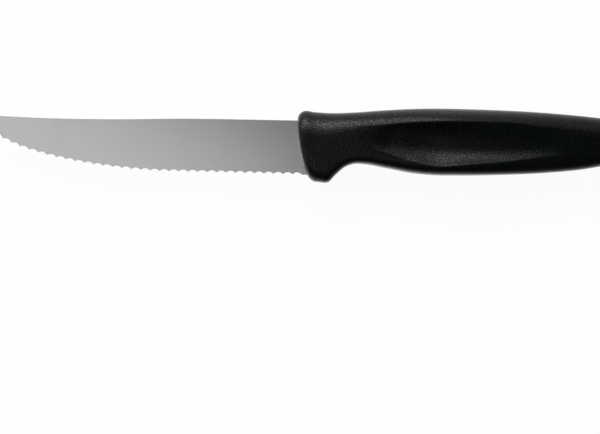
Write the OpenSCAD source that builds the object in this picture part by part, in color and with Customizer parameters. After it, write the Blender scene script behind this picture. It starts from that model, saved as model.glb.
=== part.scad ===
// Serrated steak knife: a stamped steel blade with a hidden tang, in a handle moulded around it.
// The knife lies on its side: +X runs to the butt, +Y to the spine, +Z out of the blade's left face.

/* [Blade] */
// Length of the blade, from its tip to the front of the handle
blade_length = 100; // [85:1:115]
// Height of the blade where it enters the handle
blade_height = 17.25; // [15:0.05:18]
// Thickness of the sheet that the blade is stamped from
stock_thickness = 1.5; // [1.3:0.1:2]
// Thickness behind the edge at the handle
edge_thickness = 0.7; // [0.6:0.05:0.9]
// Thickness of the spine at the tip
tip_thickness = 0.9; // [0.8:0.05:1.1]
// Height of the spine at the handle, above the centre line of the grip
spine_height = 6.85; // [6:0.05:7.5]
// Length of straight edge before the edge sweeps up to the tip
straight_edge = 43; // [35:1:50]
// Rise of the straight edge's line over the length of the blade
edge_rise = 2.45; // [0:0.05:4]

/* [Serrations] */
// Distance from one tooth point to the next, along the edge
tooth_pitch = 3.03; // [2:0.01:4]
// Depth of each scallop, seen on the left face
tooth_depth = 0.7; // [0.4:0.05:0.8]
// Angle between the ground hollows and the left face
tooth_angle = 20; // [16:1:30]
// Length of plain edge beside the handle
heel_flat = 1.6; // [1:0.1:6]
// Length of plain edge at the tip
tip_flat = 2.6; // [2:0.1:6]

/* [Tang] */
// Length of the tang, from the front of the handle to its round end
tang_length = 75; // [55:1:85]
// Height of the tang
tang_height = 9.5; // [7:0.5:10]
// Height of the tang's middle above the centre line of the grip
tang_offset = 1.2; // [0.5:0.1:1.5]
// Depth of the full-height heel inside the bolster
heel_depth = 6.5; // [5:0.5:7.5]
// Diameter of the two holes that the plastic locks into
tang_hole = 5; // [3:0.5:6]

/* [Handle profile] */
// Length of the handle
handle_length = 110; // [100:1:120]
// Height of the bolster, from its top to the finger stop
bolster_height = 23; // [21:0.5:24]
// Height at the finger notch
neck_height = 16.2; // [14.5:0.1:17]
// Height of the belly
belly_height = 21.3; // [19:0.1:23]
// Height at the rear, in front of the round butt
rear_height = 15.6; // [14:0.1:17]
// Distance that the bolster's front slants back from its top to the finger stop
front_lean = 3.85; // [2.5:0.05:4.5]
// Radius of the bolster's upper front corner, seen from the side
top_round = 2.8; // [1.5:0.1:3]
// Radius of the finger stop's front corner, seen from the side
stop_round = 2.7; // [2:0.1:3.5]
// Length of the round butt
butt_length = 12; // [9:0.5:16]

/* [Handle plan] */
// Width of the bolster
bolster_width = 12.6; // [11:0.2:15]
// Width at the finger notch
neck_width = 13.3; // [11:0.1:15]
// Width of the belly, before the scoops are taken out
belly_width = 16.1; // [14:0.1:18]
// Width at the rear
rear_width = 11.4; // [10:0.2:14]
// Radius of the bolster's front edge, seen from above
edge_round = 1.3; // [0.8:0.1:2]
// Depth of each side scoop below the ridges around it
scoop_depth = 1.7; // [0.8:0.1:2]

/* [Hidden] */
steel_colour = [0.62, 0.62, 0.62];
plastic_colour = [0.03, 0.035, 0.033];

// One overrun for all cuts
overrun = 2;
// Depth that the grind takes off the sheet at the spine
grind_step = 0.05;
// Bare strip of sheet between the ground face and the handle
plunge_gap = 0.2;
// Width that the tooth points lose inside the blank's outline
tooth_trim = 0.04;

// Curves
// Smooth curve through points, as the value at x, with slopes weighted by the gaps between points
function slope_between(a, b) = (b[1] - a[1]) / (b[0] - a[0]);

function slope_at(points, i) =
    i == 0 ? slope_between(points[0], points[1])
    : i == len(points) - 1 ? slope_between(points[i - 1], points[i])
    : let (
        gap_before = points[i][0] - points[i - 1][0],
        gap_after = points[i + 1][0] - points[i][0]
    ) (slope_between(points[i - 1], points[i]) * gap_after
        + slope_between(points[i], points[i + 1]) * gap_before) / (gap_before + gap_after);

function span_of(points, x, i = 0) =
    i >= len(points) - 2 || x <= points[i + 1][0] ? i : span_of(points, x, i + 1);

function curve(points, x) =
    let (
        i = span_of(points, x),
        width = points[i + 1][0] - points[i][0],
        t = (x - points[i][0]) / width
    ) points[i][1] * (2 * t + 1) * pow(1 - t, 2)
        + points[i + 1][1] * (3 - 2 * t) * pow(t, 2)
        + slope_at(points, i) * width * t * pow(1 - t, 2)
        - slope_at(points, i + 1) * width * pow(t, 2) * (1 - t);

// Handle lines
// Each row: place along the handle, then shares of the bolster, neck, belly and rear sizes
handle_heights = [bolster_height, neck_height, belly_height, rear_height];
handle_widths = [bolster_width, neck_width, belly_width, rear_width];

top_shares = [
    [0, 0.432, 0, 0, 0],
    [0.03, 0.433, 0, 0, 0],
    [0.047, 0, 0.593, 0, 0],
    [0.065, 0, 0.583, 0, 0],
    [0.1, 0, 0.571, 0, 0],
    [0.165, 0, 0.585, 0, 0],
    [0.253, 0, 0, 0.477, 0],
    [0.368, 0, 0, 0.501, 0],
    [0.426, 0, 0, 0.501, 0],
    [0.543, 0, 0, 0.485, 0],
    [0.659, 0, 0, 0.458, 0],
    [0.775, 0, 0, 0, 0.565],
    [0.874, 0, 0, 0, 0.493],
    [1, 0, 0, 0, 0.377]
];
bottom_shares = [
    [0, -0.537, 0, 0, 0],
    [0.064, -0.557, 0, 0, 0],
    [0.081, -0.565, 0, 0, 0],
    [0.09, -0.555, 0, 0, 0],
    [0.107, -0.472, 0, 0, 0],
    [0.134, 0, -0.508, 0, 0],
    [0.165, 0, -0.427, 0, 0],
    [0.195, 0, -0.433, 0, 0],
    [0.253, 0, 0, -0.384, 0],
    [0.34, 0, 0, -0.468, 0],
    [0.397, 0, 0, -0.495, 0],
    [0.456, 0, 0, -0.5, 0],
    [0.572, 0, 0, -0.494, 0],
    [0.717, 0, 0, -0.464, 0],
    [0.833, 0, 0, 0, -0.554],
    [0.874, 0, 0, 0, -0.505],
    [1, 0, 0, 0, -0.36]
];
half_width_shares = [
    [0, 0.488, 0, 0, 0],
    [0.064, 0.5, 0, 0, 0],
    [0.18, 0, 0.5, 0, 0],
    [0.3, 0, 0, 0.443, 0],
    [0.43, 0, 0, 0.5, 0],
    [0.6, 0, 0, 0.453, 0],
    [0.78, 0, 0, 0, 0.5],
    [1, 0, 0, 0, 0.474]
];

function line_point(row, sizes) =
    [row[0] * handle_length, [for (i = [0 : len(sizes) - 1]) row[i + 1]] * sizes];
function line_of(shares, sizes) = [for (row = shares) line_point(row, sizes)];

top_line = line_of(top_shares, handle_heights);
bottom_line = line_of(bottom_shares, handle_heights);
half_width_line = line_of(half_width_shares, handle_widths);
bolster_top = top_line[1][1];

// Squareness of the section, as the power of a superellipse: a round crown over a flat keel
crown_power = 2.5;
keel_powers = [
    [0, 4], [0.06, 7.5], [0.12, 8.5], [0.25, 8.2], [0.4, 7.8], [0.6, 8.2], [0.8, 6.3], [1, 4]
];

// Ridges around the scoop, as shares of the section's half height from its middle
upper_ridge_shares = [
    [0, 0.5], [0.12, 0.55], [0.24, 0.45], [0.3, 0.55], [0.36, 0.59],
    [0.53, 0.625], [0.615, 0.625], [0.7, 0.5], [0.79, 0.47], [1, 0.5]
];
lower_ridge_shares = [
    [0, -0.45], [0.15, -0.27], [0.229, -0.44], [0.267, -0.546], [0.305, -0.64], [0.34, -0.68],
    [0.39, -0.744], [0.5, -0.68], [0.6, -0.609], [0.7, -0.487], [0.79, -0.445], [1, -0.45]
];
// Share of its full depth that the scoop has along the handle
scoop_shares = [
    [0, 0], [0.17, 0], [0.23, 0.235], [0.265, 0.56], [0.3, 0.67], [0.37, 1], [0.47, 1],
    [0.58, 0.66], [0.68, 0.46], [0.76, 0.155], [0.82, 0], [1, 0]
];
// Share by which the scoop is deeper towards its lower ridge
scoop_drop_shares = [[0, 0], [0.3, 0], [0.4, 0.15], [0.55, 0.55], [0.7, 0.35], [1, 0]];

// Front and butt
// Place of the bolster's front at height y, and how far a section at place s leans with it
front_power = 2;
function front_place(y) = front_lean * pow(max(0, bolster_top - y) / bolster_height, front_power);
lean_length_share = 0.28;
lean_length = handle_length * lean_length_share;
function lean_share(s) = s >= lean_length ? 0 : pow(1 - s / lean_length, 2);
function leaned(s, y) = s + front_place(y) * lean_share(s);

// Loss at distance s behind the front, under a corner of the given radius
function corner_loss(s, radius) =
    s >= radius ? 0 : radius - sqrt(pow(radius, 2) - pow(radius - s, 2));

butt_start = handle_length - butt_length;
butt_power = 2.3;
function butt_share(s) =
    s <= butt_start ? 1
    : pow(max(0, 1 - pow((s - butt_start) / butt_length, butt_power)), 1 / butt_power);

// Height of a line on the leaning section at place s, found by repeated substitution
lean_passes = 6;
function line_height(line, s, y = 0, passes = lean_passes) =
    passes == 0 ? y : line_height(line, s, curve(line, leaned(s, y)), passes - 1);

// Sections
function section_top(s) = line_height(top_line, s) - corner_loss(s, top_round);
function section_bottom(s) = line_height(bottom_line, s) + corner_loss(s, stop_round);
function section_half_width(s) =
    (curve(half_width_line, s) - corner_loss(s, edge_round)) * butt_share(s);

// One section: middle, half height, half width, ridge heights, scoop share and drop, keel power
function section_at(s) =
    let (
        share = s / handle_length,
        top = section_top(s),
        bottom = section_bottom(s),
        half_height = (top - bottom) / 2 * butt_share(s)
    ) [
        (top + bottom) / 2,
        half_height,
        section_half_width(s),
        curve(upper_ridge_shares, share) * half_height,
        curve(lower_ridge_shares, share) * half_height,
        max(0, curve(scoop_shares, share)),
        curve(scoop_drop_shares, share),
        curve(keel_powers, share)
    ];

// Power and half width of the round section at height y
function power_of(section, y) = y >= 0 ? crown_power : section[7];
function side_of(section, y) =
    let (power = power_of(section, y))
    section[2] * pow(max(0, 1 - pow(abs(y) / section[1], power)), 1 / power);

// Half width at height y between the ridges: the round side, blended into a dish
function scooped_side(section, y) =
    let (
        upper = section[3],
        lower = section[4],
        t = (2 * y - upper - lower) / (upper - lower),
        chord = (side_of(section, upper) * (1 + t) + side_of(section, lower) * (1 - t)) / 2,
        dish = chord - scoop_depth * (1 - pow(t, 2)) * (1 - section[6] * t),
        round_side = side_of(section, y)
    ) round_side + section[5] * (dish - round_side);

// Angle on the superellipse at a height, and the height at an angle
function ridge_angle(section, y) =
    asin(sign(y) * pow(abs(y) / section[1], power_of(section, y) / 2));
function angle_height(section, angle) =
    section[1] * sign(angle) * pow(abs(sin(angle)), 2 / power_of(section, angle));

// Steps around half a section: top to upper ridge, across the scoop, lower ridge to bottom
crown_steps = 5;
scoop_steps = 8;
keel_steps = 8;
half_steps = crown_steps + scoop_steps + keel_steps;
ring_steps = 2 * half_steps;

function half_section_height(section, j) =
    let (
        upper_angle = ridge_angle(section, section[3]),
        lower_angle = ridge_angle(section, section[4])
    ) j <= crown_steps
        ? angle_height(section, 90 + (upper_angle - 90) * j / crown_steps)
    : j <= crown_steps + scoop_steps
        ? section[3] + (section[4] - section[3]) * (j - crown_steps) / scoop_steps
    : angle_height(section,
        lower_angle + (-90 - lower_angle) * (j - crown_steps - scoop_steps) / keel_steps);

function half_section_point(section, j) =
    let (y = half_section_height(section, j))
    j == 0 || j == half_steps ? [y, 0]
    : j < crown_steps || j > crown_steps + scoop_steps ? [y, side_of(section, y)]
    : [y, scooped_side(section, y)];

// Places of the sections: close at the round front, even along the grip, close at the butt
front_steps = 9;
notch_steps = 14;
grip_steps = 38;
butt_steps = 9;
notch_end_share = 0.155;
notch_end = handle_length * notch_end_share;
places = concat(
    [for (k = [0 : front_steps - 1]) stop_round * pow(k / front_steps, 2)],
    [for (k = [0 : notch_steps - 1]) stop_round + (notch_end - stop_round) * k / notch_steps],
    [for (k = [0 : grip_steps - 1]) notch_end + (butt_start - notch_end) * k / grip_steps],
    [for (k = [0 : butt_steps - 1]) butt_start + butt_length * sin(90 * k / butt_steps)]
);
sections = [for (s = places) section_at(s)];

// Points of the ring at one place, from the top down the left side and up the right side
function ring_point(i, j) =
    let (
        half = half_section_point(sections[i], j <= half_steps ? j : ring_steps - j),
        y = sections[i][0] + half[0]
    ) [leaned(places[i], y), y, j <= half_steps ? half[1] : -half[1]];

rings = [for (i = [0 : len(places) - 1]) [for (j = [0 : ring_steps - 1]) ring_point(i, j)]];
butt_point = [handle_length, (curve(top_line, handle_length) + curve(bottom_line, handle_length)) / 2, 0];

// Overall place of the knife: lying on its widest point, centred
handle_tops = [for (ring = rings) ring[0][1]];
handle_bottoms = [for (ring = rings) ring[half_steps][1]];
handle_sides = [for (ring = rings) max([for (point = ring) point[2]])];
knife_shift = [
    (blade_length - handle_length) / 2,
    -(max(handle_tops) + min(handle_bottoms)) / 2,
    max(handle_sides)
];

// Blade outline
spine_rise_shares = [[0, 0], [0.38, 0.034], [0.58, 0.025], [0.8, 0.045], [1, 0.103]];
function spine_place(x) =
    spine_height + blade_height * (x >= 0 ? 0 : curve(spine_rise_shares, -x / blade_length));
blade_tip = [-blade_length, spine_place(-blade_length)];

edge_heel = spine_height - blade_height;
sweep_rise = blade_tip[1] - edge_heel - edge_rise;
sweep_start_power = 1.7;
sweep_end_power = 0.455;
function straight_edge_place(x) = edge_heel - edge_rise * x / blade_length;
function edge_place(x) =
    let (t = max(0, -x - straight_edge) / (blade_length - straight_edge))
    straight_edge_place(x) + sweep_rise * (1 - pow(1 - pow(t, sweep_start_power), sweep_end_power));

// Edge from the handle to the tip, and the length along it at each point
sweep_steps = 40;
edge_start = front_place(edge_heel);
edge_points = concat(
    [[edge_start, straight_edge_place(edge_start)]],
    [for (k = [0 : sweep_steps - 1])
        let (x = -straight_edge - (blade_length - straight_edge) * sin(90 * k / sweep_steps))
        [x, edge_place(x)]],
    [blade_tip]
);
edge_gaps = [for (i = [1 : len(edge_points) - 1]) norm(edge_points[i] - edge_points[i - 1])];
edge_lengths = [
    for (i = 0, total = 0; i < len(edge_points);
        total = total + (i < len(edge_gaps) ? edge_gaps[i] : 0), i = i + 1) total
];
edge_length = edge_lengths[len(edge_lengths) - 1];
edge_x_table = [for (i = [0 : len(edge_points) - 1]) [edge_lengths[i], edge_points[i][0]]];
edge_y_table = [for (i = [0 : len(edge_points) - 1]) [edge_lengths[i], edge_points[i][1]]];
function edge_point(run) = [lookup(run, edge_x_table), lookup(run, edge_y_table)];

tooth_count = floor((edge_length - heel_flat - tip_flat) / tooth_pitch);
tooth_points = [for (k = [0 : tooth_count]) edge_point(heel_flat + tooth_pitch * k)];

// Tang outline: full-height heel, then a bar with a round end
tang_end_steps = 16;
tang_radius = tang_height / 2;
tang_end = [
    for (k = [0 : tang_end_steps])
        let (angle = -90 + 180 * k / tang_end_steps)
        [tang_length - tang_radius * (1 - cos(angle)), tang_offset + tang_radius * sin(angle)]
];
hole_gap = tang_length - tang_radius - heel_depth;
hole_shares = [0.3, 0.85];
hole_places = [for (share = hole_shares) heel_depth + hole_gap * share];

spine_steps = 24;
spine_points = [
    for (k = [1 : spine_steps])
        let (x = -blade_length * (1 - k / spine_steps))
        [x, spine_place(x)]
];
blank_outline = concat(
    [[heel_depth, tang_offset - tang_radius], [heel_depth, straight_edge_place(heel_depth)]],
    tooth_points,
    [blade_tip],
    spine_points,
    [[heel_depth, spine_height], [heel_depth, tang_offset + tang_radius]],
    [for (k = [len(tang_end) - 1 : -1 : 0]) tang_end[k]]
);

// Grind: one plane on each side, thinner towards the edge and towards the tip
spine_half = stock_thickness / 2 - grind_step;
grind_slope = (spine_half - edge_thickness / 2) / blade_height;
taper_slope = (spine_half + grind_slope * (blade_tip[1] - spine_height) - tip_thickness / 2) / blade_length;
grind_base = spine_half - grind_slope * spine_height;
function face_height(point) = grind_base + taper_slope * point[0] + grind_slope * point[1];
grind_tilt = asin(grind_slope / norm([1, grind_slope, taper_slope]));
taper_tilt = -atan(taper_slope);

plunge_steps = 12;
plunge_top = blade_tip[1] + overrun;
plunge_bottom = edge_heel - overrun;
plunge_points = [
    for (k = [0 : plunge_steps])
        let (y = plunge_bottom + (plunge_top - plunge_bottom) * k / plunge_steps)
        [front_place(y) - plunge_gap, y]
];
grind_outline = concat(
    plunge_points,
    [[-blade_length - overrun, plunge_top], [-blade_length - overrun, plunge_bottom]]
);

// Tooth cutter: a round hollow that leans under the left face
tooth_lift = tooth_depth * sin(tooth_angle);
tooth_radius = (pow(tooth_pitch / 2, 2) + pow(tooth_lift, 2)) / (2 * tooth_lift);
tooth_reach = stock_thickness / sin(tooth_angle);

module flat_blank() {
    linear_extrude(stock_thickness, center = true)
        difference() {
            polygon(blank_outline);
            for (x = hole_places)
                translate([x, tang_offset])
                    circle(d = tang_hole, $fn = 48);
        }
}

module grind_cut() {
    translate([0, 0, grind_base])
        rotate([grind_tilt, taper_tilt, 0])
            linear_extrude(stock_thickness)
                polygon(grind_outline);
}

module tooth_cut(from, to) {
    chord = from - to;
    middle = (from + to) / 2;
    translate([middle[0], middle[1], face_height(middle)])
        rotate([0, 0, atan2(chord[1], chord[0])])
            translate([0, tooth_depth + tooth_trim, 0])
                rotate([-90 - tooth_angle, 0, 0])
                    translate([0, tooth_radius, -tooth_pitch])
                        cylinder(h = tooth_pitch + tooth_reach, r = tooth_radius, $fn = 96);
}

module blade() {
    color(steel_colour)
        translate(knife_shift)
            difference() {
                flat_blank();
                grind_cut();
                mirror([0, 0, 1])
                    grind_cut();
                for (k = [0 : tooth_count - 1])
                    tooth_cut(tooth_points[k], tooth_points[k + 1]);
            }
}

// Skin of the handle: quads between rings, strips across the flat front, a fan at the butt
function corner(i, j) = i * ring_steps + j % ring_steps;
last_ring = len(rings) - 1;
handle_points = concat([for (ring = rings) each ring], [butt_point]);
butt_index = len(handle_points) - 1;
skin_faces = [
    for (i = [0 : last_ring - 1], j = [0 : ring_steps - 1])
        each [
            [corner(i, j), corner(i + 1, j), corner(i + 1, j + 1)],
            [corner(i, j), corner(i + 1, j + 1), corner(i, j + 1)]
        ]
];
front_faces = [
    for (j = [0 : half_steps - 1])
        each [
            if (j > 0) [corner(0, j), corner(0, j + 1), corner(0, ring_steps - j)],
            if (j < half_steps - 1)
                [corner(0, j + 1), corner(0, ring_steps - j - 1), corner(0, ring_steps - j)]
        ]
];
butt_faces = [
    for (j = [0 : ring_steps - 1])
        [corner(last_ring, j), butt_index, corner(last_ring, j + 1)]
];

module handle_body() {
    polyhedron(handle_points, concat(skin_faces, front_faces, butt_faces));
}

module handle() {
    color(plastic_colour)
        translate(knife_shift)
            difference() {
                handle_body();
                flat_blank();
            }
}

blade();
handle();
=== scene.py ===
"""Looks of a serrated steak knife: a satin steel blade in a black moulded handle, on a white table."""
import math
from typing import NamedTuple

import bpy
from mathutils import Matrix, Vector


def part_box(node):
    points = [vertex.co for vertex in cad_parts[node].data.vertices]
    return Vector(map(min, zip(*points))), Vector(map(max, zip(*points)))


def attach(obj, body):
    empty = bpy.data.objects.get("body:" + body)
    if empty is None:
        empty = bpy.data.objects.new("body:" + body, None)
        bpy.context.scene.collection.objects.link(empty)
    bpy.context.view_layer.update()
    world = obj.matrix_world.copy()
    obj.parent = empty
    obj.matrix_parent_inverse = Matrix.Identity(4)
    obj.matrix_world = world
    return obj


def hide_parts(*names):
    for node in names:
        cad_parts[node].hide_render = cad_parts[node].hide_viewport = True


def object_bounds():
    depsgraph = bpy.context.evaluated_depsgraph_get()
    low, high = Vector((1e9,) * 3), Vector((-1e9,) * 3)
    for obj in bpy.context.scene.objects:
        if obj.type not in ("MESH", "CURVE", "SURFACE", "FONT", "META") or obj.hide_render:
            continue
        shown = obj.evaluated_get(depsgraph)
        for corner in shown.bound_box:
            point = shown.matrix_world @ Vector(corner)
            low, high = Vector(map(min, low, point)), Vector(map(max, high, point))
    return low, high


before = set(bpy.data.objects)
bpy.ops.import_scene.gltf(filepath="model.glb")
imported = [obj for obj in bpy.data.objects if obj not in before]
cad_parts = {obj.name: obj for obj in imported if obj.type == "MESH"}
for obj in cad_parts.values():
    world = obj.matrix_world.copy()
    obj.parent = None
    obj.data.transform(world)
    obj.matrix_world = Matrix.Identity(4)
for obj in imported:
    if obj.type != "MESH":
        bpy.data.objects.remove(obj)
cad_low, cad_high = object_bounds()
handle_low, handle_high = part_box("handle")

MM = 0.001

# Handle sizes in millimetres, as the solid was drawn
HANDLE_LENGTH = 110.0
HANDLE_HEIGHTS = {"bolster": 23.0, "neck": 16.2, "belly": 21.3, "rear": 15.6}
HANDLE_WIDTHS = {"bolster": 12.6, "neck": 13.3, "belly": 16.1, "rear": 11.4}
FRONT_LEAN = 3.85
FRONT_POWER = 2.0
LEAN_LENGTH = 0.28 * HANDLE_LENGTH
TOP_ROUND = 2.8
STOP_ROUND = 2.7
EDGE_ROUND = 1.3
BUTT_LENGTH = 12.0
BUTT_START = HANDLE_LENGTH - BUTT_LENGTH
BUTT_POWER = 2.3
SCOOP_DEPTH = 1.7
NOTCH_END = 0.155 * HANDLE_LENGTH

# Finer than the solid: rounding of the ridges, with the places it is averaged over as shares of its
# reach, and the mould's parting line
RIDGE_ROUND = 0.5
RIDGE_SAMPLES = (-1, -0.5, 0, 0.5, 1)
SEAM_HEIGHT = 0.05

# Handle lines: place as a share of the length, height as a share of the named size
TOP_SHARES = [
    (0, 0.432, "bolster"), (0.03, 0.433, "bolster"), (0.047, 0.593, "neck"), (0.065, 0.583, "neck"),
    (0.1, 0.571, "neck"), (0.165, 0.585, "neck"), (0.253, 0.477, "belly"), (0.368, 0.501, "belly"),
    (0.426, 0.501, "belly"), (0.543, 0.485, "belly"), (0.659, 0.458, "belly"), (0.775, 0.565, "rear"),
    (0.874, 0.493, "rear"), (1, 0.377, "rear"),
]
BOTTOM_SHARES = [
    (0, -0.537, "bolster"), (0.064, -0.557, "bolster"), (0.081, -0.565, "bolster"),
    (0.09, -0.555, "bolster"), (0.107, -0.472, "bolster"), (0.134, -0.508, "neck"), (0.165, -0.427, "neck"),
    (0.195, -0.433, "neck"), (0.253, -0.384, "belly"), (0.34, -0.468, "belly"), (0.397, -0.495, "belly"),
    (0.456, -0.5, "belly"), (0.572, -0.494, "belly"), (0.717, -0.464, "belly"), (0.833, -0.554, "rear"),
    (0.874, -0.505, "rear"), (1, -0.36, "rear"),
]
HALF_WIDTH_SHARES = [
    (0, 0.488, "bolster"), (0.064, 0.5, "bolster"), (0.18, 0.5, "neck"), (0.3, 0.443, "belly"),
    (0.43, 0.5, "belly"), (0.6, 0.453, "belly"), (0.78, 0.5, "rear"), (1, 0.474, "rear"),
]
# Squareness of the section, as the power of a superellipse: a round crown over a flat keel
CROWN_POWER = 2.5
KEEL_POWERS = [
    (0, 4), (0.06, 7.5), (0.12, 8.5), (0.25, 8.2), (0.4, 7.8), (0.6, 8.2), (0.8, 6.3), (1, 4),
]
# Ridges around the scoop, as shares of the section's half height from its middle. The upper one runs
# slightly lower than the solid's
UPPER_RIDGE_SHARES = [
    (0, 0.5), (0.12, 0.55), (0.24, 0.43), (0.3, 0.52), (0.36, 0.565), (0.53, 0.6), (0.615, 0.61),
    (0.7, 0.5), (0.79, 0.47), (1, 0.5),
]
LOWER_RIDGE_SHARES = [
    (0, -0.45), (0.15, -0.27), (0.229, -0.44), (0.267, -0.546), (0.305, -0.64), (0.34, -0.68),
    (0.39, -0.744), (0.5, -0.68), (0.6, -0.609), (0.7, -0.487), (0.79, -0.445), (1, -0.45),
]
# Share of its full depth that the scoop has along the handle
SCOOP_SHARES = [
    (0, 0), (0.17, 0), (0.23, 0.235), (0.265, 0.56), (0.3, 0.67), (0.37, 1), (0.47, 1), (0.58, 0.66),
    (0.68, 0.46), (0.76, 0.155), (0.82, 0), (1, 0),
]
# Share by which the scoop is deeper towards its lower ridge
SCOOP_DROP_SHARES = [(0, 0), (0.3, 0), (0.4, 0.15), (0.55, 0.55), (0.7, 0.35), (1, 0)]

# Steps of the fine skin, around half a section and along the handle
CROWN_STEPS = 26
SCOOP_STEPS = 36
KEEL_STEPS = 26
HALF_STEPS = CROWN_STEPS + SCOOP_STEPS + KEEL_STEPS
RING_STEPS = 2 * HALF_STEPS
FRONT_STEPS = 14
NOTCH_STEPS = 56
GRIP_STEPS = 160
BUTT_STEPS = 26
POLE_POWER = 1.4
LEAN_PASSES = 6

# Camera: the photograph's scale and the pixels of two places on the knife, in the 600 x 434 frame
IMAGE_WIDTH = 600
IMAGE_HEIGHT = 434
PIXELS_PER_MM = 3.133
HANDLE_FRONT_PIXEL = 297.73
BOX_MIDDLE_PIXEL = 145.71
CAMERA_DISTANCE = 0.6
SENSOR_WIDTH = 36.0

# Studio, in metres: a strip of light overhead, a softbox beyond the spine, which leaves out the blade, two
# dim panels that light the blade alone, a wide white table, and dark surroundings with a pale ring above
# the horizon. The ring is given by the upward part of a direction, and reaches higher at the knife's ends
STRIP_HEIGHT = 1.0
STRIP_CENTRE = (-0.31, 0.024)
STRIP_SIZE = (0.161, 0.663)
STRIP_TURN = math.radians(66.9)
STRIP_RADIANCE = 1.12
SOFTBOX_DISTANCE = 1.1
SOFTBOX_SIZE = (0.624, 0.562)
SOFTBOX_TILT = math.radians(45.4)
SOFTBOX_TURN = math.radians(-14.5)
SOFTBOX_RADIANCE = 3.64
PANEL_SIZE = (1.7, 1.2)
PANEL_TILT = math.radians(56)
PANEL_RADIANCE = 0.36
DARK_RADIANCE = 0.001
RING_RADIANCE = 0.5
RING_FULL = 0.3
RING_END = 0.75
RING_LIFT = 0.6
RING_FRONT_SHARE = 0.4
TABLE_RADIUS = 4.0
TABLE_RIM = 0.45
TABLE_SIDES = 64
TABLE_COLOUR = (0.1, 0.1, 0.1, 1)
TABLE_GLOW = 0.949

# Materials: features per millimetre, depths in millimetres, and pairs for the hollows and the heights of
# the grain or for the two ends of a noise
GRAIN_PER_MM = 2.5
GRAIN_RANGE = (0.36, 0.68)
GRAIN_DEPTH = 0.025
PITS_PER_MM = 7.0
PITS_DEPTH = 0.008
WEAR_PER_MM = 0.12
PLASTIC_IOR = 1.4
PLASTIC_TINT = (0.95, 1, 0.98, 1)
PLASTIC_GLOSS = (0.38, 0.82)
PLASTIC_ROUGHNESS = (0.4, 0.18)
PLASTIC_SHADES = ((0.0005, 0.0023, 0.0015), (0.0008, 0.003, 0.002))
GRIND_PER_MM = (7, 0.06, 0.3)
GRIND_DEPTH = 0.00005
CLOUD_PER_MM = 0.08
STEEL_ROUGHNESS = (0.215, 0.235)
STEEL_SHADES = ((0.6, 0.602, 0.6), (0.64, 0.642, 0.64))


# Curves

def slope_between(a, b):
    return (b[1] - a[1]) / (b[0] - a[0])


def slope_at(points, i):
    """Slope of the smooth line at one of its points."""
    if i == 0:
        return slope_between(points[0], points[1])
    if i == len(points) - 1:
        return slope_between(points[i - 1], points[i])
    gap_before = points[i][0] - points[i - 1][0]
    gap_after = points[i + 1][0] - points[i][0]
    before = slope_between(points[i - 1], points[i])
    after = slope_between(points[i], points[i + 1])
    return (before * gap_after + after * gap_before) / (gap_before + gap_after)


def curve(points, x):
    """Smooth line through points, as its value at x."""
    i = 0
    while i < len(points) - 2 and x > points[i + 1][0]:
        i += 1
    width = points[i + 1][0] - points[i][0]
    t = (x - points[i][0]) / width
    return (
        points[i][1] * (2 * t + 1) * (1 - t) ** 2
        + points[i + 1][1] * (3 - 2 * t) * t ** 2
        + slope_at(points, i) * width * t * (1 - t) ** 2
        - slope_at(points, i + 1) * width * t ** 2 * (1 - t)
    )


# Handle sections

def line_of(rows, sizes):
    return [(place * HANDLE_LENGTH, share * sizes[name]) for place, share, name in rows]


TOP_LINE = line_of(TOP_SHARES, HANDLE_HEIGHTS)
BOTTOM_LINE = line_of(BOTTOM_SHARES, HANDLE_HEIGHTS)
HALF_WIDTH_LINE = line_of(HALF_WIDTH_SHARES, HANDLE_WIDTHS)
BOLSTER_TOP = TOP_LINE[1][1]


def leaned(place, height):
    """Place along the handle of a point on a section that leans with the bolster's front."""
    if place >= LEAN_LENGTH:
        return place
    drop = max(0, BOLSTER_TOP - height) / HANDLE_HEIGHTS["bolster"]
    return place + FRONT_LEAN * drop ** FRONT_POWER * (1 - place / LEAN_LENGTH) ** 2


def line_height(line, place):
    """Height of a line on the leaning section, found by repeated substitution."""
    height = 0
    for _ in range(LEAN_PASSES):
        height = curve(line, leaned(place, height))
    return height


def corner_loss(place, radius):
    """Loss behind the front, under a round corner."""
    if place >= radius:
        return 0
    return radius - math.sqrt(radius ** 2 - (radius - place) ** 2)


def butt_share(place):
    """Share of its size that a section keeps in the round butt."""
    if place <= BUTT_START:
        return 1
    run = (place - BUTT_START) / BUTT_LENGTH
    return max(0, 1 - run ** BUTT_POWER) ** (1 / BUTT_POWER)


class Section(NamedTuple):
    place: float
    middle: float
    half_height: float
    half_width: float
    keel_power: float
    upper: float
    lower: float
    scoop: float
    scoop_drop: float


def section_at(place):
    share = place / HANDLE_LENGTH
    top = line_height(TOP_LINE, place) - corner_loss(place, TOP_ROUND)
    bottom = line_height(BOTTOM_LINE, place) + corner_loss(place, STOP_ROUND)
    half_height = (top - bottom) / 2 * butt_share(place)
    return Section(
        place=place,
        middle=(top + bottom) / 2,
        half_height=half_height,
        half_width=(curve(HALF_WIDTH_LINE, place) - corner_loss(place, EDGE_ROUND)) * butt_share(place),
        keel_power=curve(KEEL_POWERS, share),
        upper=curve(UPPER_RIDGE_SHARES, share) * half_height,
        lower=curve(LOWER_RIDGE_SHARES, share) * half_height,
        scoop=max(0, curve(SCOOP_SHARES, share)),
        scoop_drop=curve(SCOOP_DROP_SHARES, share),
    )


def power_at(section, height):
    return CROWN_POWER if height > 0 else section.keel_power


def round_side(section, height):
    """Half width of the section before the scoop is taken out."""
    power = power_at(section, height)
    rest = max(0, 1 - (abs(height) / section.half_height) ** power)
    return section.half_width * rest ** (1 / power)


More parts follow.
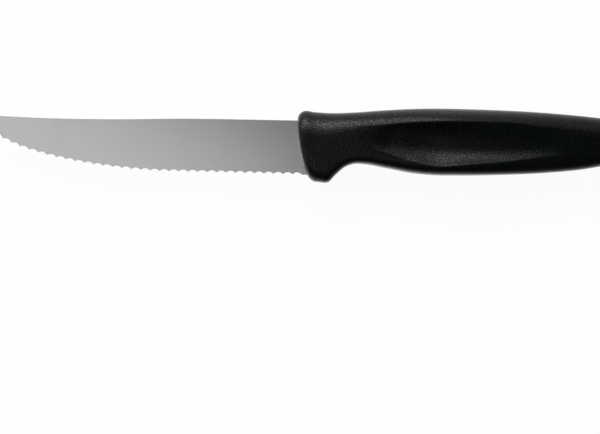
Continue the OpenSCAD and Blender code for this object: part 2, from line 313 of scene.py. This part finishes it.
def scooped_side(section, height):
    """Half width with the scoop dished in between the ridges."""
    side = round_side(section, height)
    if not section.lower < height < section.upper:
        return side
    t = (2 * height - section.upper - section.lower) / (section.upper - section.lower)
    upper_side = round_side(section, section.upper)
    lower_side = round_side(section, section.lower)
    chord = (upper_side * (1 + t) + lower_side * (1 - t)) / 2
    dish = chord - SCOOP_DEPTH * (1 - t ** 2) * (1 - section.scoop_drop * t)
    return side + section.scoop * (dish - side)


def blunt_side(section, height):
    """Half width with the ridges rounded, as the mean over a short stretch of the side."""
    reach = RIDGE_ROUND * (1 - abs(height) / section.half_height) * section.scoop
    sides = [scooped_side(section, height + reach * step) for step in RIDGE_SAMPLES]
    return sum(sides) / len(sides)


def ridge_angle(section, height):
    share = height / section.half_height
    return math.asin(math.copysign(abs(share) ** (power_at(section, height) / 2), share))


def angle_height(section, angle):
    share = abs(math.sin(angle)) ** (2 / power_at(section, angle))
    return section.half_height * math.copysign(share, angle)


def half_heights(section):
    """Heights down half a section: crown, scoop, then keel, closer together at top and bottom."""
    quarter = math.pi / 2
    upper_angle = ridge_angle(section, section.upper)
    lower_angle = ridge_angle(section, section.lower)
    heights = []
    for k in range(CROWN_STEPS):
        share = (k / CROWN_STEPS) ** POLE_POWER
        heights.append(angle_height(section, quarter - (quarter - upper_angle) * share))
    for k in range(SCOOP_STEPS):
        heights.append(section.upper + (section.lower - section.upper) * k / SCOOP_STEPS)
    for k in range(KEEL_STEPS, -1, -1):
        share = (k / KEEL_STEPS) ** POLE_POWER
        heights.append(angle_height(section, -quarter + (quarter + lower_angle) * share))
    return heights


def half_ring(section):
    """Points down the left side, as place, height and half width, with the parting line's ridge."""
    seam = SEAM_HEIGHT * butt_share(section.place)
    points = []
    for j, height in enumerate(half_heights(section)):
        on_seam = j in (0, HALF_STEPS)
        side = 0 if on_seam else blunt_side(section, height)
        y = section.middle + height
        lift = math.copysign(seam, height) if on_seam else 0
        points.append((leaned(section.place, y), y + lift, side))
    return points


def section_places():
    """Places of the sections: close at the round front and at the butt."""
    front = [STOP_ROUND * (k / FRONT_STEPS) ** 2 for k in range(FRONT_STEPS)]
    notch = [STOP_ROUND + (NOTCH_END - STOP_ROUND) * k / NOTCH_STEPS for k in range(NOTCH_STEPS)]
    grip = [NOTCH_END + (BUTT_START - NOTCH_END) * k / GRIP_STEPS for k in range(GRIP_STEPS)]
    butt = [BUTT_START + BUTT_LENGTH * math.sin(math.pi / 2 * k / BUTT_STEPS) for k in range(BUTT_STEPS)]
    return front + notch + grip + butt


def fitted(points):
    """Points of the loft, in millimetres, brought into the box of the solid handle."""
    low = [min(point[axis] for point in points) for axis in range(3)]
    high = [max(point[axis] for point in points) for axis in range(3)]
    scale = [(handle_high[axis] - handle_low[axis]) / (high[axis] - low[axis]) for axis in range(3)]
    return [
        tuple(handle_low[axis] + (point[axis] - low[axis]) * scale[axis] for axis in range(3))
        for point in points
    ]


def handle_faces(ring_count, butt_index):
    """Quads between rings, strips across the flat front and a fan at the butt."""
    def corner(i, j):
        return i * RING_STEPS + j % RING_STEPS

    faces = []
    for i in range(ring_count - 1):
        for j in range(RING_STEPS):
            faces.append((corner(i, j), corner(i + 1, j), corner(i + 1, j + 1), corner(i, j + 1)))
    faces.append((corner(0, 0), corner(0, 1), corner(0, RING_STEPS - 1)))
    for j in range(1, HALF_STEPS - 1):
        across = RING_STEPS - j
        faces.append((corner(0, j), corner(0, j + 1), corner(0, across - 1), corner(0, across)))
    faces.append((corner(0, HALF_STEPS - 1), corner(0, HALF_STEPS), corner(0, HALF_STEPS + 1)))
    for j in range(RING_STEPS):
        faces.append((corner(ring_count - 1, j), butt_index, corner(ring_count - 1, j + 1)))
    return faces


def make_object(name, points, faces):
    mesh = bpy.data.meshes.new(name)
    mesh.from_pydata(points, [], faces)
    mesh.shade_smooth()
    made = bpy.data.objects.new(name, mesh)
    bpy.context.scene.collection.objects.link(made)
    return made


def make_handle():
    """Skin of the moulded handle, as one closed loft."""
    points = []
    places = section_places()
    for place in places:
        left = half_ring(section_at(place))
        right = [(x, y, -z) for x, y, z in reversed(left[1:-1])]
        points.extend(left + right)
    butt_height = (TOP_LINE[-1][1] + BOTTOM_LINE[-1][1]) / 2
    points.append((HANDLE_LENGTH, butt_height, 0))
    return make_object("moulded_handle", fitted(points), handle_faces(len(places), len(points) - 1))


# Materials

def new_material(name):
    """An empty Principled material, and its tree and shader."""
    material = bpy.data.materials.new(name)
    material.use_nodes = True
    tree = material.node_tree
    return material, tree, tree.nodes["Principled BSDF"]


def millimetres(tree, stretch=(1, 1, 1)):
    """Object coordinates in millimetres, each axis times its stretch."""
    place = tree.nodes.new("ShaderNodeTexCoord")
    mapping = tree.nodes.new("ShaderNodeMapping")
    mapping.inputs["Scale"].default_value = [factor / MM for factor in stretch]
    tree.links.new(place.outputs["Object"], mapping.inputs["Vector"])
    return mapping.outputs["Vector"]


def noise(tree, vector, scale, detail=2.0, roughness=0.5):
    """Noise with about scale features per millimetre."""
    node = tree.nodes.new("ShaderNodeTexNoise")
    node.inputs["Scale"].default_value = scale
    node.inputs["Detail"].default_value = detail
    node.inputs["Roughness"].default_value = roughness
    tree.links.new(vector, node.inputs["Vector"])
    return node.outputs["Fac"]


def math_node(tree, operation, first, second):
    """Sum, product or the like of a value and a second value or number."""
    node = tree.nodes.new("ShaderNodeMath")
    node.operation = operation
    tree.links.new(first, node.inputs[0])
    if isinstance(second, (int, float)):
        node.inputs[1].default_value = second
    else:
        tree.links.new(second, node.inputs[1])
    return node.outputs["Value"]


def spread(tree, value, low, high, from_low=0.3, from_high=0.7):
    """A value brought from one range, or else the noise's usual one, to low and high."""
    node = tree.nodes.new("ShaderNodeMapRange")
    node.inputs["From Min"].default_value = from_low
    node.inputs["From Max"].default_value = from_high
    node.inputs["To Min"].default_value = low
    node.inputs["To Max"].default_value = high
    tree.links.new(value, node.inputs["Value"])
    return node.outputs["Result"]


def shades(tree, value, dark, light):
    """A colour between two shades."""
    ramp = tree.nodes.new("ShaderNodeValToRGB")
    ramp.color_ramp.elements[0].color = (*dark, 1)
    ramp.color_ramp.elements[1].color = (*light, 1)
    tree.links.new(value, ramp.inputs["Fac"])
    return ramp.outputs["Color"]


def bump(tree, height, depth, under=None):
    """Bump of the given depth in metres, over another bump's normal."""
    node = tree.nodes.new("ShaderNodeBump")
    node.inputs["Strength"].default_value = 1
    node.inputs["Distance"].default_value = depth
    tree.links.new(height, node.inputs["Height"])
    if under is not None:
        tree.links.new(under, node.inputs["Normal"])
    return node.outputs["Normal"]


def plastic_material():
    """Black polypropylene with the fine grain of an eroded mould, rougher and duller in its hollows."""
    material, tree, shader = new_material("black_moulded_plastic")
    place = millimetres(tree)
    relief = noise(tree, place, scale=GRAIN_PER_MM, detail=1.0)
    grain = spread(tree, relief, 0, 1, *GRAIN_RANGE)
    pits = noise(tree, place, scale=PITS_PER_MM, detail=1.0)
    worn = noise(tree, place, scale=WEAR_PER_MM, detail=3.0)
    gloss = spread(tree, grain, *PLASTIC_GLOSS, from_low=0, from_high=1)
    roughness = spread(tree, grain, *PLASTIC_ROUGHNESS, from_low=0, from_high=1)
    grained = bump(tree, grain, GRAIN_DEPTH * MM)
    shader.inputs["IOR"].default_value = PLASTIC_IOR
    shader.inputs["Specular Tint"].default_value = PLASTIC_TINT
    tree.links.new(gloss, shader.inputs["Specular IOR Level"])
    tree.links.new(shades(tree, worn, *PLASTIC_SHADES), shader.inputs["Base Color"])
    tree.links.new(roughness, shader.inputs["Roughness"])
    tree.links.new(bump(tree, pits, PITS_DEPTH * MM, grained), shader.inputs["Normal"])
    return material


def steel_material():
    """Satin stainless steel, ground from the spine to the edge."""
    material, tree, shader = new_material("satin_ground_steel")
    lines = noise(tree, millimetres(tree, GRIND_PER_MM), scale=1.0, detail=3.0, roughness=0.65)
    cloud = noise(tree, millimetres(tree), scale=CLOUD_PER_MM, detail=3.0)
    shader.inputs["Metallic"].default_value = 1
    tree.links.new(shades(tree, cloud, *STEEL_SHADES), shader.inputs["Base Color"])
    tree.links.new(spread(tree, lines, *STEEL_ROUGHNESS), shader.inputs["Roughness"])
    tree.links.new(bump(tree, lines, GRIND_DEPTH * MM), shader.inputs["Normal"])
    return material


def table_material():
    """White table: its glow shows to the camera and in reflections, and its dim face takes the shadow."""
    material = bpy.data.materials.new("white_table")
    material.use_nodes = True
    tree = material.node_tree
    tree.nodes.clear()
    path = tree.nodes.new("ShaderNodeLightPath")
    seen = path.outputs["Is Camera Ray"]
    for kind in ("Is Glossy Ray", "Is Transmission Ray"):
        seen = math_node(tree, "MAXIMUM", seen, path.outputs[kind])
    glow = tree.nodes.new("ShaderNodeEmission")
    tree.links.new(math_node(tree, "MULTIPLY", seen, TABLE_GLOW), glow.inputs["Strength"])
    face = tree.nodes.new("ShaderNodeBsdfDiffuse")
    face.inputs["Color"].default_value = TABLE_COLOUR
    both = tree.nodes.new("ShaderNodeAddShader")
    tree.links.new(glow.outputs["Emission"], both.inputs[0])
    tree.links.new(face.outputs["BSDF"], both.inputs[1])
    output = tree.nodes.new("ShaderNodeOutputMaterial")
    tree.links.new(both.outputs["Shader"], output.inputs["Surface"])
    return material


def paint(piece, material):
    """Gives every face of a piece one material."""
    if not piece.material_slots:
        piece.data.materials.append(material)
    for slot in piece.material_slots:
        slot.material = material


# Studio

def make_table():
    """Round table under the knife, with a low sloping rim far out."""
    points = [(0, 0, cad_low.z)]
    faces = []
    for radius, rise in ((TABLE_RADIUS, 0), (TABLE_RADIUS + TABLE_RIM, TABLE_RIM)):
        for k in range(TABLE_SIDES):
            angle = 2 * math.pi * k / TABLE_SIDES
            points.append((radius * math.cos(angle), radius * math.sin(angle), cad_low.z + rise))
    for k in range(TABLE_SIDES):
        following = (k + 1) % TABLE_SIDES
        faces.append((0, 1 + k, 1 + following))
        faces.append((1 + k, 1 + TABLE_SIDES + k, 1 + TABLE_SIDES + following, 1 + following))
    return make_object("white_table", points, faces)


def add_lamp(name, place, size, radiance):
    """Rectangular lamp that shows the given radiance, facing down."""
    lamp = bpy.data.lights.new(name, "AREA")
    lamp.shape = "RECTANGLE"
    lamp.size, lamp.size_y = size
    lamp.energy = math.pi * radiance * size[0] * size[1]
    made = bpy.data.objects.new(name, lamp)
    made.location = place
    made.visible_camera = False
    bpy.context.scene.collection.objects.link(made)
    return made


def surround_scene():
    """Dark studio with a pale ring above the horizon, higher at the knife's ends and weaker by its edge."""
    world = bpy.data.worlds.new("dim_studio")
    world.use_nodes = True
    tree = world.node_tree
    way = tree.nodes.new("ShaderNodeTexCoord").outputs["Generated"]
    parts = tree.nodes.new("ShaderNodeSeparateXYZ")
    tree.links.new(way, parts.inputs["Vector"])
    endward = math_node(tree, "MULTIPLY", parts.outputs["X"], parts.outputs["X"])
    lift = math_node(tree, "MULTIPLY", endward, RING_LIFT)
    height = math_node(tree, "SUBTRACT", parts.outputs["Z"], lift)
    ring = spread(tree, height, RING_RADIANCE, DARK_RADIANCE, from_low=RING_FULL, from_high=RING_END)
    ring.node.interpolation_type = "SMOOTHSTEP"
    facing = spread(tree, parts.outputs["Y"], RING_FRONT_SHARE, 1, from_low=-1, from_high=0)
    background = tree.nodes["Background"]
    background.inputs["Color"].default_value = (1, 1, 1, 1)
    tree.links.new(math_node(tree, "MULTIPLY", ring, facing), background.inputs["Strength"])
    bpy.context.scene.world = world


def add_softbox(name, tilt, turn, size, radiance):
    """Lamp that faces the knife, tilted from straight above it and turned from the spine's side."""
    knife = (cad_low + cad_high) / 2
    outward = math.sin(tilt)
    away = Vector((math.sin(turn) * outward, math.cos(turn) * outward, math.cos(tilt)))
    made = add_lamp(name, knife + away * SOFTBOX_DISTANCE, size, radiance)
    made.rotation_euler = (-away).to_track_quat("-Z", "Y").to_euler()
    return made


def link_lamp(lamp, piece, state):
    """Lets a lamp light one piece alone, or everything but that piece."""
    receivers = bpy.data.collections.new(lamp.name + "_receivers")
    receivers.objects.link(piece)
    receivers.collection_objects[0].light_linking.link_state = state
    lamp.light_linking.receiver_collection = receivers


def light_scene():
    """Strip over everything, softbox for all but the blade, and two dim panels for the blade alone."""
    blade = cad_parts["blade"]
    strip = add_lamp("overhead_strip", (*STRIP_CENTRE, STRIP_HEIGHT), STRIP_SIZE, STRIP_RADIANCE)
    strip.rotation_euler = (0, 0, STRIP_TURN)
    softbox = add_softbox("spine_softbox", SOFTBOX_TILT, SOFTBOX_TURN, SOFTBOX_SIZE, SOFTBOX_RADIANCE)
    link_lamp(softbox, blade, "EXCLUDE")
    for name, turn in (("spine_panel", 0), ("edge_panel", math.pi)):
        panel = add_softbox(name, PANEL_TILT, turn, PANEL_SIZE, PANEL_RADIANCE)
        link_lamp(panel, blade, "INCLUDE")


def place_camera():
    """Camera straight above the knife, at the photograph's framing."""
    camera = bpy.data.cameras.new("camera")
    camera.type = "PERSP"
    camera.sensor_width = SENSOR_WIDTH
    camera.lens = SENSOR_WIDTH * CAMERA_DISTANCE / (IMAGE_WIDTH / PIXELS_PER_MM * MM)
    made = bpy.data.objects.new("camera", camera)
    middle = (handle_low + handle_high) / 2
    x = handle_low.x + (IMAGE_WIDTH / 2 - HANDLE_FRONT_PIXEL) / PIXELS_PER_MM * MM
    y = middle.y - (IMAGE_HEIGHT / 2 - BOX_MIDDLE_PIXEL) / PIXELS_PER_MM * MM
    made.location = (x, y, middle.z + CAMERA_DISTANCE)
    bpy.context.scene.collection.objects.link(made)
    bpy.context.scene.camera = made


# Scene
bpy.context.scene.view_settings.view_transform = "Standard"
place_camera()
surround_scene()
light_scene()

table = make_table()
paint(table, table_material())

paint(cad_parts["blade"], steel_material())

handle = make_handle()
paint(handle, plastic_material())
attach(handle, "root")
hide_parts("handle")
